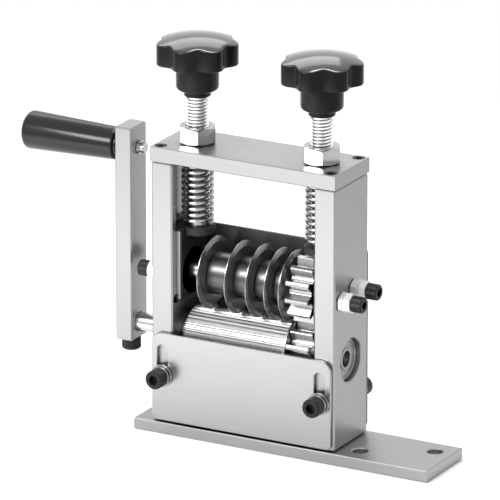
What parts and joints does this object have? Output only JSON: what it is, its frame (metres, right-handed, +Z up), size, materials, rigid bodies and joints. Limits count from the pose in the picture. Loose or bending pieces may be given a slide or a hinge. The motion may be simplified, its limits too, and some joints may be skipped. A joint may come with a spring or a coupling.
{
  "type": "hand crank wire stripper",
  "caption": "Hand crank wire stripper: round blades on a sprung carriage over a serrated feed roller, geared together between side plates, with star knobs and a bench base.",
  "frame": {"origin": "on the underside of the base bar, midway between the side plates and on the centre line of the bar's depth", "axes": "+X to the right along the shafts, away from the crank; +Y to the back, the way a wire is fed; +Z up"},
  "size_m": [0.2424, 0.0595, 0.2104],
  "materials": {
    "brushed_aluminium": "brushed, with bright chamfers",
    "stainless_sheet": "satin",
    "bright_steel": "polished",
    "dark_steel": "dark, lightly polished",
    "black_oxide_steel": "black oxide",
    "black_plastic": "gloss black",
    "black_grip": "satin black"
  },
  "bodies": {
    "frame": {"base_plate": "brushed_aluminium", "left_side_plate": "brushed_aluminium", "right_side_plate": "brushed_aluminium", "top_plate": "brushed_aluminium", "top_plate_screw_1": "black_oxide_steel", "top_plate_screw_2": "black_oxide_steel", "top_plate_screw_3": "black_oxide_steel", "top_plate_screw_4": "black_oxide_steel", "left_drive_bearing": "bright_steel", "right_drive_bearing": "bright_steel", "rear_guide_plate": "stainless_sheet", "rear_plate_left_screw": "black_oxide_steel", "rear_plate_right_screw": "black_oxide_steel", "front_plate_left_screw": "black_oxide_steel", "front_plate_right_screw": "black_oxide_steel", "left_front_adjusting_screw": "black_oxide_steel", "left_front_lock_nut": "bright_steel", "left_rear_adjusting_screw": "black_oxide_steel", "left_rear_lock_nut": "bright_steel", "right_front_adjusting_screw": "black_oxide_steel", "right_front_lock_nut_1": "bright_steel", "right_front_lock_nut_2": "bright_steel", "right_rear_adjusting_screw": "black_oxide_steel", "right_rear_lock_nut_1": "bright_steel", "right_rear_lock_nut_2": "bright_steel", "left_pressure_nut": "bright_steel", "right_pressure_nut": "bright_steel", "left_spring": "bright_steel", "right_spring": "bright_steel"},
    "front_guide": {"front_guide_plate": "stainless_sheet"},
    "carriage": {"left_bearing_block": "dark_steel", "right_bearing_block": "dark_steel", "left_blade_bearing": "bright_steel", "right_blade_bearing": "bright_steel"},
    "blades": {"blade_shaft": "bright_steel", "blade_retaining_ring": "black_oxide_steel", "blade_1": "dark_steel", "blade_2": "dark_steel", "blade_3": "dark_steel", "blade_4": "dark_steel", "blade_5": "dark_steel", "blade_spacer_1": "dark_steel", "blade_spacer_2": "dark_steel", "blade_spacer_3": "dark_steel", "blade_spacer_4": "dark_steel", "blade_gear": "bright_steel"},
    "left_screw": {"left_pressure_screw": "bright_steel", "left_knob": "black_plastic"},
    "right_screw": {"right_pressure_screw": "bright_steel", "right_knob": "black_plastic"},
    "crank": {"drive_shaft": "bright_steel", "feed_roller": "bright_steel", "feed_side_disc": "bright_steel", "drive_gear": "bright_steel", "crank_arm": "brushed_aluminium", "crank_clamp_screw": "black_oxide_steel", "handle_axle": "bright_steel", "handle_washer": "bright_steel"},
    "grip": {"handle_grip": "black_grip"}
  },
  "joints": [
    {"name": "crank_turn", "type": "hinge", "parent": "frame", "child": "crank", "pos_m": [0, 0, 0.0506], "axis": [1, 0, 0], "continuous": true},
    {"name": "grip_spin", "type": "hinge", "parent": "crank", "child": "grip", "pos_m": [-0.0823, 0, 0.1456], "axis": [1, 0, 0], "continuous": true},
    {"name": "blade_lift", "type": "slide", "parent": "frame", "child": "carriage", "axis": [0, 0, 1], "range_m": [0, 0.0081], "deforming": ["left_spring", "right_spring"]},
    {"name": "blade_spin", "type": "hinge", "parent": "carriage", "child": "blades", "pos_m": [0, 0, 0.0846], "axis": [1, 0, 0], "continuous": true},
    {"name": "left_knob_turn", "type": "hinge", "parent": "carriage", "child": "left_screw", "pos_m": [-0.03585, 0, 0.1946], "axis": [0, 0, 1], "range_deg": [0, 1640]},
    {"name": "right_knob_turn", "type": "hinge", "parent": "carriage", "child": "right_screw", "pos_m": [0.03585, 0, 0.1946], "axis": [0, 0, 1], "range_deg": [0, 1640]},
    {"name": "front_plate_slide", "type": "slide", "parent": "frame", "child": "front_guide", "axis": [0, 0, 1], "range_m": [-0.001, 0.002]}
  ],
  "couplings": [
    {"joint": "blade_spin", "follows": "crank_turn", "ratio": -1},
    {"joint": "blade_lift", "follows": "left_knob_turn", "m_per_rad": 0.00027852},
    {"joint": "right_knob_turn", "follows": "left_knob_turn", "ratio": 1}
  ]
}
